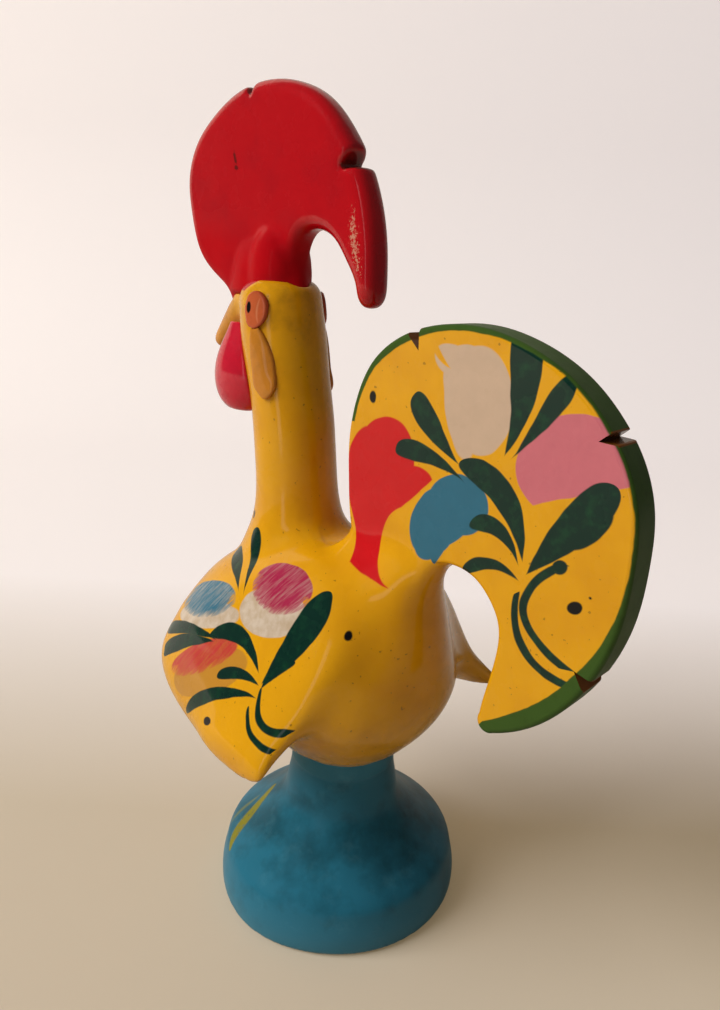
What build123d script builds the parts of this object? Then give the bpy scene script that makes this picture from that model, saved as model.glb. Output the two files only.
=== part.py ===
from build123d import *
import os
from math import atan2, cos, degrees, hypot, radians, sin

os.makedirs("parts", exist_ok=True)

# Hand-built clay rooster on a bell-shaped foot, in millimetres.
# The bird looks along -Y and its left side is +X. Up is +Z.
# The origin is the middle of the foot, on the surface that it stands on.
# "Ahead" is a distance along -Y, "aside" along +X and "up" along +Z.

# Foot: a thrown bell, open underneath
base_radius = 38.0
base_height = 44.0
base_band_height = 4.0
base_wall = 6.0
base_edge_round = 1.6
base_neck_radius = 16.2
base_bore_radius = 9.0
base_slope_radius_shares = (0.985, 0.925, 0.82, 0.69, 0.57, 0.49, 0.44)
base_slope_height_shares = (0.18, 0.29, 0.385, 0.50, 0.64, 0.77, 0.89)
base_hollow_radius_shares = (0.97, 0.84, 0.62, 0.41, 0.31)
base_hollow_height_shares = (0.12, 0.26, 0.42, 0.62, 0.80)

# Body: a round belly that rises behind into a saddle for the tail
belly_radius = 33.4
body_height = 75.0
body_wall = 6.0
vent_radius = 3.0
body_up_shares = (0.05, 0.11, 0.21, 0.32, 0.43, 0.54, 0.64, 0.75, 0.86, 0.93, 1.0)
body_ahead_shares = (0.0, 0.0, 0.0, 0.0, 0.0, -0.09, -0.24, -0.36, -0.48, -0.55, -0.61)
body_long_shares = (0.53, 0.615, 0.80, 0.945, 1.0, 0.91, 0.75, 0.60, 0.455, 0.43, 0.43)
body_wide_shares = (0.53, 0.615, 0.80, 0.945, 1.0, 0.85, 0.67, 0.54, 0.40, 0.29, 0.18)
hollow_first_row = 1
hollow_last_row = 6

# Breast and wings: one swelling from wing tip to wing tip, across the bird
wing_reach = 45.0
wing_length = 57.0
wing_clearance = 16.0
wing_rise = 41.0
wing_root_aside = 22.0
wing_aside_shares = (0.0, 0.30, 0.56, 0.735, 0.845, 0.935, 1.0)
wing_rear_shares = (-0.36, -0.385, -0.35, -0.305, -0.275, -0.26, -0.235)
wing_rear_up_shares = (0.98, 1.0, 0.73, 0.42, 0.26, 0.15, 0.075)
wing_front_shares = (0.97, 0.985, 0.97, 0.92, 0.70, 0.36, 0.0)
wing_front_up_shares = (0.45, 0.43, 0.33, 0.19, 0.09, 0.035, 0.05)
wing_deep_shares = (0.54, 0.525, 0.43, 0.32, 0.235, 0.155, 0.095)
wing_right_sweep = 12.0

# Neck and head: a tapering column that leans ahead, with a rounded crown
neck_height = 73.0
neck_seat_drop = 5.0
neck_ahead = 23.5
neck_lean = 11.0
neck_radius = 16.4
head_radius = 12.7
crown_round = 6.0
neck_wall = 6.0
neck_gap_ahead = -2.0
neck_root_depth = 12.0
neck_root_radius = 18.8
bore_root_ahead = 10.0
bore_root_depth = 30.0
bore_last_row = 4
neck_up_shares = (0.0, 0.09, 0.22, 0.37, 0.63, 0.84, 1.0)
neck_lean_shares = (0.03, 0.10, 0.19, 0.30, 0.62, 0.90, 1.0)
neck_taper_shares = (0.35, 0.86, 1.06, 1.08, 1.06, 1.03, 1.0)

# Comb: a thick slab with a hook that hangs behind the head
comb_length = 83.3
comb_height = 57.5
comb_thick = 9.0
comb_edge_round = 3.4
comb_tip_radius = 3.2
comb_tip_shares = (0.045, 0.055)
comb_seat_ahead = 7.3
comb_seat_depth = 5.0
comb_seat_back_share = 0.58
comb_seat_up_share = 0.11
comb_foot_wide = 8.0
comb_foot_spread = 2.6
comb_foot_height = 17.0
foot_up_shares = (0.0, 0.3, 0.6, 1.0)
foot_wide_shares = (1.0, 1.0, 0.85, 0.5)
foot_spread_shares = (1.0, 0.5, 0.15, 0.0)

# Tail: a flat slab like a sickle, with a crisp painted rim
tail_length = 84.0
tail_height = 97.5
tail_thick = 9.5
tail_edge_round = 1.3
tail_tongue_depth = 10.0
tail_seat_back_share = 0.764
tail_seat_up_share = 0.3735

# File cuts across the rims of comb and tail
notch_width = 3.4
notch_depth = 4.2

# Face: small pieces laid on the head, placed from the middle of the crown
beak_root_ahead = 8.5
beak_root_drop = 3.5
beak_length = 29.0
beak_droop = 40.0
beak_root_deep = 6.5
beak_root_wide = 7.4
beak_tip_radius = 2.6
beak_tip_round_share = 0.9
beak_along_shares = (0.0, 0.5, 1.0)
beak_narrow_shares = (0.0, 0.5, 1.0)
wattle_ahead = 11.3
wattle_aside = 6.0
wattle_drop = 40.0
wattle_height = 26.5
wattle_long = 10.5
wattle_wide = 6.4
wattle_round_share = 0.8
wattle_up_shares = (0.0, 0.12, 0.38, 0.72, 1.0)
wattle_ahead_shares = (-0.05, 0.0, 0.0, 0.0, 0.1)
wattle_size_shares = (0.45, 0.82, 1.0, 0.76, 0.3)
eye_ahead = -4.1
eye_drop = 8.8
eye_long = 7.4
eye_tall = 10.4
eye_relief = 1.2
lobe_ahead = -6.9
lobe_drop = 23.0
lobe_long = 8.4
lobe_tall = 21.5
lobe_relief = 1.2
lobe_lean = 12.0
lobe_long_shares = (0.0, 0.5, 0.16, 0.0, -0.2, -0.5)
lobe_tall_shares = (0.5, 0.1, -0.46, -0.5, -0.44, 0.1)

cut_overrun = 5.0
tangent_shares = (1, 1)

# Places that follow from the sizes above
body_top = base_height + body_height
neck_seat_height = body_top - neck_seat_drop
crown_height = neck_seat_height + neck_height
crown_ahead = neck_ahead + neck_lean
wing_low = base_height + wing_clearance
saddle_ahead = belly_radius * body_ahead_shares[-1]
comb_rear = crown_ahead + comb_seat_ahead - comb_length * comb_seat_back_share
comb_low = crown_height - comb_height * comb_seat_up_share
tail_rear = saddle_ahead - tail_length * tail_seat_back_share
tail_low = body_top - tail_height * tail_seat_up_share


def along(low, high, share):
    """value between two sizes"""
    return low + (high - low) * share


def spot(aside, ahead, up):
    return Vector(aside, -ahead, up)


def level_ellipse(aside, ahead, up, wide, long):
    """flat ellipse in a level plane"""
    plane = Plane(origin=spot(aside, ahead, up), x_dir=(1, 0, 0), z_dir=(0, 0, 1))
    return plane * Ellipse(wide, long)


def upright_ellipse(aside, ahead, up, long, tall, tilt):
    """ellipse in a plane that cuts the bird from front to back; the tilt lifts its rear"""
    plane = Plane(origin=spot(aside, ahead, up), x_dir=(0, 1, 0), z_dir=(1, 0, 0))
    return plane * Rot(0, 0, tilt) * Ellipse(long, tall)


def side_slab(edges, thick):
    """slab of even thickness about the middle plane, from a closed side outline"""
    face = Face(Wire(edges))
    return extrude(face, thick / 2, dir=(1, 0, 0), both=True)


def smooth_curve(points, start, end):
    """curve through points that leaves and arrives along two directions"""
    return Spline(points, tangents=[start, end], tangent_scalars=tangent_shares)


def file_cut(rim, angle, thick):
    """wedge that opens outwards along an angle measured from ahead, turning upwards"""
    inward = notch_depth
    outward = cut_overrun
    spread = notch_width / 2 * (inward + outward) / inward
    way_out = Vector(0, -cos(radians(angle)), sin(radians(angle)))
    across = Vector(0, sin(radians(angle)), cos(radians(angle)))
    root = rim - way_out * inward
    mouth = rim + way_out * outward
    face = Face(Wire.make_polygon([root, mouth + across * spread, mouth - across * spread]))
    return extrude(face, thick, dir=(1, 0, 0), both=True)


def make_base():
    up = (0, 1)
    slope = [
        (base_radius * radius, base_height * height)
        for radius, height in zip(base_slope_radius_shares, base_slope_height_shares)
    ]
    band_top = (base_radius, base_band_height)
    outer = smooth_curve([band_top, *slope, (base_neck_radius, base_height)], up, up)
    band = Line((base_radius, 0), band_top)
    hollow_radius = base_radius - base_wall
    hollow = [
        (hollow_radius * radius, base_height * height)
        for radius, height in zip(base_hollow_radius_shares, base_hollow_height_shares)
    ]
    inner = smooth_curve([(hollow_radius, 0), *hollow, (base_bore_radius, base_height)], up, up)
    top = Line(outer @ 1, inner @ 1)
    rim = Line(inner @ 0, band @ 0)
    ring = revolve(Plane.XZ * make_face([band, outer, top, inner, rim]), Axis.Z)
    rim_edges = ring.edges().filter_by(GeomType.CIRCLE).group_by(Axis.Z)[0]
    return fillet(rim_edges, base_edge_round)


def belly_sections(inset=0.0):
    """level ellipses from just above the sole to the saddle"""
    rows = zip(body_up_shares, body_ahead_shares, body_long_shares, body_wide_shares)
    return [
        level_ellipse(
            0,
            belly_radius * ahead,
            base_height + body_height * up,
            belly_radius * wide - inset,
            belly_radius * long - inset,
        )
        for up, ahead, long, wide in rows
    ]


def belly_form():
    """round belly that stands on the top of the foot"""
    sole = level_ellipse(0, 0, base_height, base_neck_radius, base_neck_radius)
    return loft([sole, *belly_sections()])


def breast_form():
    """ellipses across the bird, from one wing tip through the breast to the other"""
    rows = list(
        zip(
            wing_aside_shares,
            wing_rear_shares,
            wing_rear_up_shares,
            wing_front_shares,
            wing_front_up_shares,
            wing_deep_shares,
        )
    )
    mirrored = [(-row[0], *row[1:]) for row in rows[:0:-1]]
    sections = []
    for aside, rear, rear_up, front, front_up, deep in mirrored + rows:
        sweep = wing_right_sweep * max(-aside, 0) ** 3
        run = wing_length * (front - rear)
        rise = wing_rise * (rear_up - front_up)
        sections.append(
            upright_ellipse(
                wing_reach * aside,
                wing_length * (front + rear) / 2 - sweep,
                wing_low + wing_rise * (rear_up + front_up) / 2,
                hypot(run, rise) / 2,
                wing_rise * deep,
                degrees(atan2(rise, run)),
            )
        )
    return loft(sections)


def neck_sections(offset=0.0):
    """circles from the seat on the body to the crown"""
    sections = []
    for up, lean, taper in zip(neck_up_shares, neck_lean_shares, neck_taper_shares):
        radius = along(neck_radius, head_radius, taper) + offset
        height = neck_seat_height + neck_height * up
        sections.append(level_ellipse(0, neck_ahead + neck_lean * lean, height, radius, radius))
    return sections


def neck_form(offset=0.0):
    """neck and head on a root that widens into the breast"""
    root_up = neck_seat_height - neck_root_depth
    root_radius = neck_root_radius + offset
    root = level_ellipse(0, neck_ahead, root_up, root_radius, root_radius)
    return loft([root, *neck_sections(offset)])


def head_form():
    """the same with the crown rounded over"""
    neck = neck_form()
    crown = neck.faces().sort_by(Axis.Z)[-1]
    return fillet(crown.edges(), crown_round)


def hollow_form():
    """air inside: the belly, the passage up through the neck, and the vent in the sole"""
    belly = loft(belly_sections(body_wall)[hollow_first_row : hollow_last_row + 1])
    bore_radius = neck_radius - neck_wall
    bore_up = neck_seat_height - bore_root_depth
    bore_root = level_ellipse(0, bore_root_ahead, bore_up, bore_radius, bore_radius)
    bore = loft([bore_root, *neck_sections(-neck_wall)[: bore_last_row + 1]])
    vent_height = body_height * body_up_shares[hollow_first_row] + cut_overrun
    vent = Cylinder(vent_radius, vent_height, align=(Align.CENTER, Align.CENTER, Align.MIN))
    return belly + bore + Pos(0, 0, base_height) * vent


def comb_point(back_share, up_share):
    return Vector(0, -comb_rear - comb_length * back_share, comb_low + comb_height * up_share)


def tail_point(back_share, up_share):
    return Vector(0, -tail_rear - tail_length * back_share, tail_low + tail_height * up_share)


# Side outlines, as shares of length (from the rear) and of height (from the lowest point)
comb_rim_shares = (
    (0.72, -0.09),
    (0.735, -0.01),
    (0.8235, 0.085),
    (0.93, 0.205),
    (0.985, 0.40),
    (1.0, 0.59),
    (0.946, 0.765),
    (0.838, 0.89),
    (0.695, 0.982),
    (0.54, 1.012),
    (0.3865, 0.98),
    (0.267, 0.90),
    (0.18, 0.785),
    (0.107, 0.65),
    (0.048, 0.48),
    (0.015, 0.29),
)
comb_arch_shares = (
    (0.135, 0.20),
    (0.19, 0.29),
    (0.262, 0.335),
    (0.3325, 0.32),
    (0.372, 0.25),
    (0.385, 0.15),
    (0.39, -0.09),
)
tail_rim_shares = (
    (0.885, 0.20),
    (0.943, 0.325),
    (0.976, 0.42),
    (0.992, 0.54),
    (0.997, 0.65),
    (0.972, 0.77),
    (0.912, 0.875),
    (0.785, 0.958),
    (0.63, 0.995),
    (0.51, 0.997),
    (0.405, 0.98),
    (0.302, 0.948),
    (0.214, 0.905),
    (0.124, 0.837),
    (0.044, 0.744),
    (0.0, 0.64),
    (-0.01, 0.52),
    (0.0, 0.39),
    (0.05, 0.245),
    (0.15, 0.105),
    (0.335, -0.02),
)
tail_tip_shares = (0.37, -0.025)
tail_arch_shares = (
    (0.39, 0.02),
    (0.375, 0.10),
    (0.355, 0.20),
    (0.36, 0.29),
    (0.40, 0.345),
    (0.45, 0.38),
    (0.53, 0.395),
    (0.60, 0.38),
    (0.645, 0.345),
)

# File cuts: shares of length and height, as above, and the way out in degrees from ahead
comb_cut_shares = ((0.618, 1.0), (0.131, 0.623))
comb_cut_ways = (75.0, 150.0)
tail_cut_shares = ((0.742, 0.962), (0.081, 0.806), (0.063, 0.23))
tail_cut_ways = (65.0, 160.0, 215.0)


def slab_edges(slab, thick):
    """curved edges of the two faces of a slab"""
    half = thick / 2
    return [
        edge
        for edge in slab.edges()
        if abs(abs(edge.center().X) - half) < half / 100 and edge.geom_type != GeomType.LINE
    ]


def make_comb_slab():
    up = Vector(0, 0, 1)
    ahead = Vector(0, -1, 0)
    tip_middle = comb_point(*comb_tip_shares)
    rim_points = [comb_point(*p) for p in comb_rim_shares] + [tip_middle - ahead * comb_tip_radius]
    arch_points = [tip_middle + ahead * comb_tip_radius] + [comb_point(*p) for p in comb_arch_shares]
    rim = smooth_curve(rim_points, Spline(rim_points) % 0, -up)
    arch = smooth_curve(arch_points, up, Spline(arch_points) % 1)
    tip = ThreePointArc(rim @ 1, tip_middle - up * comb_tip_radius, arch @ 0)
    seat = Line(arch @ 1, rim @ 0)
    slab = side_slab([*rim.edges(), *tip.edges(), *arch.edges(), *seat.edges()], comb_thick)
    return fillet(slab_edges(slab, comb_thick), comb_edge_round)


def make_comb():
    """slab on a thicker foot that spreads over the crown"""
    rear = comb_point(*comb_arch_shares[-1])
    front = comb_point(*comb_rim_shares[0])
    ahead = -(rear.Y + front.Y) / 2
    half_long = (rear.Y - front.Y) / 2
    foot = loft(
        [
            level_ellipse(
                0,
                ahead,
                crown_height - comb_seat_depth + comb_foot_height * up,
                comb_foot_wide * wide,
                half_long + comb_foot_spread * spread,
            )
            for up, wide, spread in zip(foot_up_shares, foot_wide_shares, foot_spread_shares)
        ]
    )
    comb = make_comb_slab() + foot
    for shares, angle in zip(comb_cut_shares, comb_cut_ways):
        comb -= file_cut(comb_point(*shares), angle, comb_thick)
    return comb


def make_tail():
    rim = Spline([tail_point(*p) for p in tail_rim_shares])
    arch = Spline([tail_point(*p) for p in tail_arch_shares])
    tip = ThreePointArc(rim @ 1, tail_point(*tail_tip_shares), arch @ 0)
    tongue_up = body_top - tail_tongue_depth
    tongue_rear = Vector(0, (arch @ 1).Y, tongue_up)
    tongue_front = Vector(0, (rim @ 0).Y, tongue_up)
    tongue = Polyline(arch @ 1, tongue_rear, tongue_front, rim @ 0)
    slab = side_slab([*rim.edges(), *tip.edges(), *arch.edges(), *tongue.edges()], tail_thick)
    tail = fillet(slab_edges(slab, tail_thick), tail_edge_round)
    for shares, angle in zip(tail_cut_shares, tail_cut_ways):
        tail -= file_cut(tail_point(*shares), angle, tail_thick)
    return tail


def make_beak():
    droop = radians(beak_droop)
    reach = Vector(0, -cos(droop), -sin(droop))
    root = spot(0, crown_ahead + beak_root_ahead, crown_height - beak_root_drop)
    sections = []
    for share, narrow in zip(beak_along_shares, beak_narrow_shares):
        plane = Plane(origin=root + reach * beak_length * share, x_dir=(1, 0, 0), z_dir=reach)
        wide = along(beak_root_wide, beak_tip_radius, narrow)
        deep = along(beak_root_deep, beak_tip_radius, narrow)
        sections.append(plane * Ellipse(wide, deep))
    beak = loft(sections)
    tip = beak.faces().sort_by(lambda face: face.center().dot(reach))[-1]
    return fillet(tip.edges(), beak_tip_radius * beak_tip_round_share)


def make_wattle():
    """hanging drop of clay on the left of the throat"""
    sections = []
    for up, ahead, size in zip(wattle_up_shares, wattle_ahead_shares, wattle_size_shares):
        sections.append(
            level_ellipse(
                wattle_aside,
                crown_ahead + wattle_ahead + wattle_long * ahead,
                crown_height - wattle_drop + wattle_height * up,
                wattle_wide * size,
                wattle_long * size,
            )
        )
    wattle = loft(sections)
    bottom = wattle.faces().sort_by(Axis.Z)[0]
    return fillet(bottom.edges(), wattle_wide * wattle_size_shares[0] * wattle_round_share)


def relief(outline, thick):
    """skin of clay on the left of the head, inside an outline drawn from the side"""
    prism = extrude(outline, base_radius, dir=(1, 0, 0))
    return prism & neck_form(thick)


def make_eye():
    ahead = crown_ahead + eye_ahead
    up = crown_height - eye_drop
    return relief(upright_ellipse(0, ahead, up, eye_long / 2, eye_tall / 2, 0), eye_relief)


def make_ear_lobe():
    middle = spot(0, crown_ahead + lobe_ahead, crown_height - lobe_drop)
    plane = Plane(origin=middle, x_dir=(0, 1, 0), z_dir=(1, 0, 0))
    side_points = [
        (lobe_long * long, lobe_tall * tall)
        for long, tall in zip(lobe_long_shares, lobe_tall_shares)
    ]
    outline = make_face(Spline(side_points, periodic=True))
    return relief(plane * Rot(0, 0, lobe_lean) * outline, lobe_relief)


def side_box(side):
    """everything beyond the root of one wing; side is 1 on the left and -1 on the right"""
    size = crown_height * 2
    return Pos(side * (wing_root_aside + size / 2), 0, 0) * Box(size, size, size)


def make_trunk():
    """body, neck and wings, cut from one flowing form so that their joints lie flush"""
    belly = belly_form()
    breast = breast_form()
    neck = head_form()
    left_wing = (breast & side_box(1)) - belly - neck
    right_wing = (breast & side_box(-1)) - belly - neck
    size = crown_height * 2
    above_seat = Pos(0, -neck_gap_ahead - size / 2, neck_seat_height + size / 2) * Box(size, size, size)
    whole = belly + breast + neck
    hollow = hollow_form()
    neck_and_head = (whole & above_seat) - hollow
    body = whole - above_seat - left_wing - right_wing - hollow
    return body, neck_and_head, left_wing, right_wing


def left_of_middle(shape):
    size = crown_height * 2
    return shape & (Pos(size / 2, 0, 0) * Box(size, size, size))


def make_pieces():
    """every piece in its place, each cut back by the ones that it is laid on"""
    body, neck_and_head, left_wing, right_wing = make_trunk()
    comb = make_comb()
    tail = make_tail()
    body -= tail
    neck_and_head -= comb
    head = head_form() + comb
    beak = make_beak() - head
    wattle = left_of_middle(make_wattle()) - head - beak
    eye = make_eye() - head
    ear_lobe = make_ear_lobe() - head - eye
    pieces = {
        "base": make_base(),
        "body": body,
        "neck_and_head": neck_and_head,
        "left_wing": left_wing,
        "right_wing": right_wing,
        "comb": comb,
        "tail": tail,
        "beak": beak,
    }
    for name, shape in {"wattle": wattle, "eye": eye, "ear_lobe": ear_lobe}.items():
        pieces["left_" + name] = shape
        pieces["right_" + name] = mirror(shape, Plane.YZ)
    return pieces


if __name__ == "__main__":
    for name, shape in make_pieces().items():
        export_step(shape, f"parts/{name}.step")
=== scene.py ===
import math

import bmesh
import bpy
from bpy.props import FloatProperty, FloatVectorProperty, PointerProperty
from mathutils import Matrix, Vector


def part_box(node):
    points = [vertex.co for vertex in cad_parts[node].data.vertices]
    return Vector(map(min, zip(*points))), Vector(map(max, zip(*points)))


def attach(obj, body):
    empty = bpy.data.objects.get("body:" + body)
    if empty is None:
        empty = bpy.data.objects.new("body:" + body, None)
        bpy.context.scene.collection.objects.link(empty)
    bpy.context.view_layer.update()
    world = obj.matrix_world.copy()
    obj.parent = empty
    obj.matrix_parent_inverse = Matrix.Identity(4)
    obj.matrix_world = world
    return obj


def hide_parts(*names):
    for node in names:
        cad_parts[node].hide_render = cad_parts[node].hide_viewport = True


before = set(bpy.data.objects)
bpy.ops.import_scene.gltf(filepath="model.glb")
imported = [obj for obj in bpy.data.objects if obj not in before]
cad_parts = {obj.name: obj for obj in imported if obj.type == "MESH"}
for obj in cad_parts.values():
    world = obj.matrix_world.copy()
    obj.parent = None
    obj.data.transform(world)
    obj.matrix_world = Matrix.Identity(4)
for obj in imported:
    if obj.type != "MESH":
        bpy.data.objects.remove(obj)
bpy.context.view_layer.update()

bl_info = {
    "name": "Painted clay rooster",
    "version": (1, 0, 0),
    "blender": (4, 5, 0),
    "location": "View3D > Sidebar > Rooster",
    "description": "Hand-built clay rooster, painted with enamel, on a bell-shaped foot",
    "category": "Object",
}

MM = 0.001
BODY = "root"

# Width of the soft edge of painted marks, in millimetres
EDGE = 0.3
HALF_EDGE = EDGE / 2


def srgb(red, green, blue):
    """linear colour from the numbers of a paint chart, 0 to 255"""
    def linear(number):
        share = number / 255
        return share / 12.92 if share <= 0.04045 else ((share + 0.055) / 1.055) ** 2.4

    return tuple(linear(number) for number in (red, green, blue))


def darker(colour, share):
    """the colour with that share of its light"""
    return tuple(part * share for part in colour)


def paint_prop(name, description, chart):
    """colour in the panel, from the numbers of a paint chart"""
    return FloatVectorProperty(
        name=name, description=description, subtype="COLOR", min=0, max=1, default=srgb(*chart)
    )


def length_prop(name, description, millimetres):
    """length in the panel, from millimetres"""
    return FloatProperty(
        name=name, description=description, unit="LENGTH", min=0, default=millimetres * MM
    )


class RoosterClay(bpy.types.PropertyGroup):
    crease_round: length_prop("Crease round", "Round that a wet finger leaves in creases of the body", 5.0)
    root_round: length_prop("Root round", "Round where the comb grows out of the head", 3.0)
    skin_grid: length_prop("Skin grid", "Grid on which the skins of body and foot are made", 0.8)
    tail_root_grid: length_prop("Tail root grid", "Grid on which the root of the tail is made", 0.7)
    comb_grid: length_prop("Comb grid", "Grid on which the skin of the comb is made", 0.6)
    pellet_grid: length_prop("Pellet grid", "Grid for eyes, ear lobes and wattles", 0.3)


class RoosterPaint(bpy.types.PropertyGroup):
    yellow: paint_prop("Yellow", "Ground of body and tail", (232, 164, 14))
    amber: paint_prop("Amber", "Yellow where it lies thicker or is older", (205, 130, 12))
    # Grime colours the specks, the crown and the darker patches low at the rear of the body
    soot: paint_prop("Grime", "Brown grime in specks and handled places", (95, 55, 12))
    red: paint_prop("Comb red", "Comb", (188, 8, 20))
    deep_red: paint_prop("Deep red", "Darker patches on the comb", (150, 10, 24))
    # Worn red is partly real wear and partly a painted highlight on the hook
    wear_and_highlight_red: paint_prop("Worn red", "Rubbed patch on the hook of the comb", (214, 158, 128))
    chip: paint_prop("Chip", "Chips in the face of the comb", (70, 20, 14))
    cut_red: paint_prop("Cut red", "Inside of the file cuts of the comb", (96, 28, 18))
    pink_red: paint_prop("Wattle red", "Wattles", (205, 22, 48))
    petal_red: paint_prop("Petal red", "Large petal on the tail", (212, 20, 26))
    blue: paint_prop("Foot blue", "Bell-shaped foot", (40, 112, 134))
    # Smudge blue also carries the painted shade band round the middle of the foot
    smudge_and_shade_blue: paint_prop("Smudge blue", "Smudged places of the foot", (24, 72, 84))
    # Thin blue also carries the painted light at the top and bottom of the foot
    rubbed_and_lit_blue: paint_prop("Thin blue", "Places of the foot that are rubbed thin", (110, 168, 182))
    olive: paint_prop("Olive", "Brush touch on the foot", (134, 128, 30))
    thin_olive: paint_prop("Thin olive", "Fainter brush touch beside it", (140, 134, 40))
    rim_green: paint_prop("Rim green", "Rim of the tail", (62, 88, 34))
    leaf: paint_prop("Leaf green", "Leaves and stems", (6, 44, 34))
    leaf_light: paint_prop("Thin leaf green", "Leaves where the brush ran thin", (22, 74, 44))
    cream: paint_prop("Cream", "Pale petal on the tail", (212, 180, 150))
    white: paint_prop("Petal white", "White under the petals of the wings", (214, 200, 182))
    dull_white: paint_prop("Dull white", "White where it is dirty or thin", (192, 172, 148))
    pink: paint_prop("Pink", "Pink petal on the tail", (214, 114, 122))
    magenta: paint_prop("Magenta", "Upper petal of the wings", (172, 40, 74))
    coral: paint_prop("Coral", "Lower petal of the wings", (198, 62, 54))
    petal_ochre: paint_prop("Petal ochre", "Ochre under the lower petal of the wings", (192, 132, 46))
    petal_blue: paint_prop("Petal blue", "Blue petals", (48, 110, 132))
    orange: paint_prop("Eye orange", "Eyes", (206, 98, 54))
    eye_rim: paint_prop("Eye rim", "Edge of the eyes", (176, 66, 40))
    # Eye light is a painted highlight, a pale crescent in the eyes
    eye_highlight: paint_prop("Eye light", "Pale crescent in the eyes", (240, 168, 120))
    ochre: paint_prop("Ochre", "Ear lobes and beak", (206, 130, 40))
    black: paint_prop("Black", "Dots and pupils", (10, 9, 9))
    bare: paint_prop("Bare clay", "Clay in the cuts of the tail", (122, 70, 22))


class RoosterStage(bpy.types.PropertyGroup):
    floor: paint_prop("Floor", "Plain pale floor", (205, 193, 176))
    near_glow: paint_prop("Near glow", "Paleness that the camera adds to the floor", (102, 86, 60))
    far_glow: paint_prop("Far glow", "Paleness that the camera adds to the backdrop", (186, 180, 184))
    sky: FloatProperty(
        name="Sky", description="Strength of the even light from all sides", min=0, default=0.1
    )
    window: FloatProperty(
        name="Window", description="Power of the window light, in watts", min=0, default=61.0
    )
    lens: FloatProperty(
        name="Lens", description="Focal length of the camera, in millimetres", min=1, default=27.09
    )


def spot(aside, ahead, up):
    """place in metres, from millimetres to the left, ahead and up"""
    return Vector((aside, -ahead, up)) * MM


def fade(value, low, high):
    """0 below low, 1 above high, and a smooth rise between them"""
    share = min(max((value - low) / (high - low), 0), 1)
    return share * share * (3 - 2 * share)


def swelling(value, out, middle, spread):
    """how far a smooth swelling stands out at a value"""
    return out * math.exp(-(((value - middle) / spread) ** 2))


class Value:
    """A shader socket that takes part in sums; each operation adds a Math node."""

    def __init__(self, shader, socket):
        self.shader = shader
        self.socket = socket

    def math(self, operation, *others, clamp=False):
        settings = {"operation": operation, "use_clamp": clamp}
        return self.shader.node("ShaderNodeMath", settings, dict(enumerate(others)))

    def __add__(self, other):
        return self.math("ADD", self, other)

    def __radd__(self, other):
        return self.math("ADD", other, self)

    def __sub__(self, other):
        return self.math("SUBTRACT", self, other)

    def __rsub__(self, other):
        return self.math("SUBTRACT", other, self)

    def __mul__(self, other):
        return self.math("MULTIPLY", self, other)

    def __truediv__(self, other):
        return self.math("DIVIDE", self, other)

    def __pow__(self, other):
        return self.math("POWER", self, other)

    def __neg__(self):
        return self.math("MULTIPLY", self, -1)

    def __abs__(self):
        return self.math("ABSOLUTE", self)

    def times_plus(self, factor, term, clamp=False):
        return self.math("MULTIPLY_ADD", self, factor, term, clamp=clamp)

    def root(self):
        return self.math("SQRT", self)

    def least(self, other):
        return self.math("MINIMUM", self, other)

    def most(self, other):
        return self.math("MAXIMUM", self, other)

    def mask(self, softness):
        """1 where the value is above the softness, 0 where it is below zero"""
        return self.times_plus(1 / softness, 0.0, clamp=True)


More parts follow.
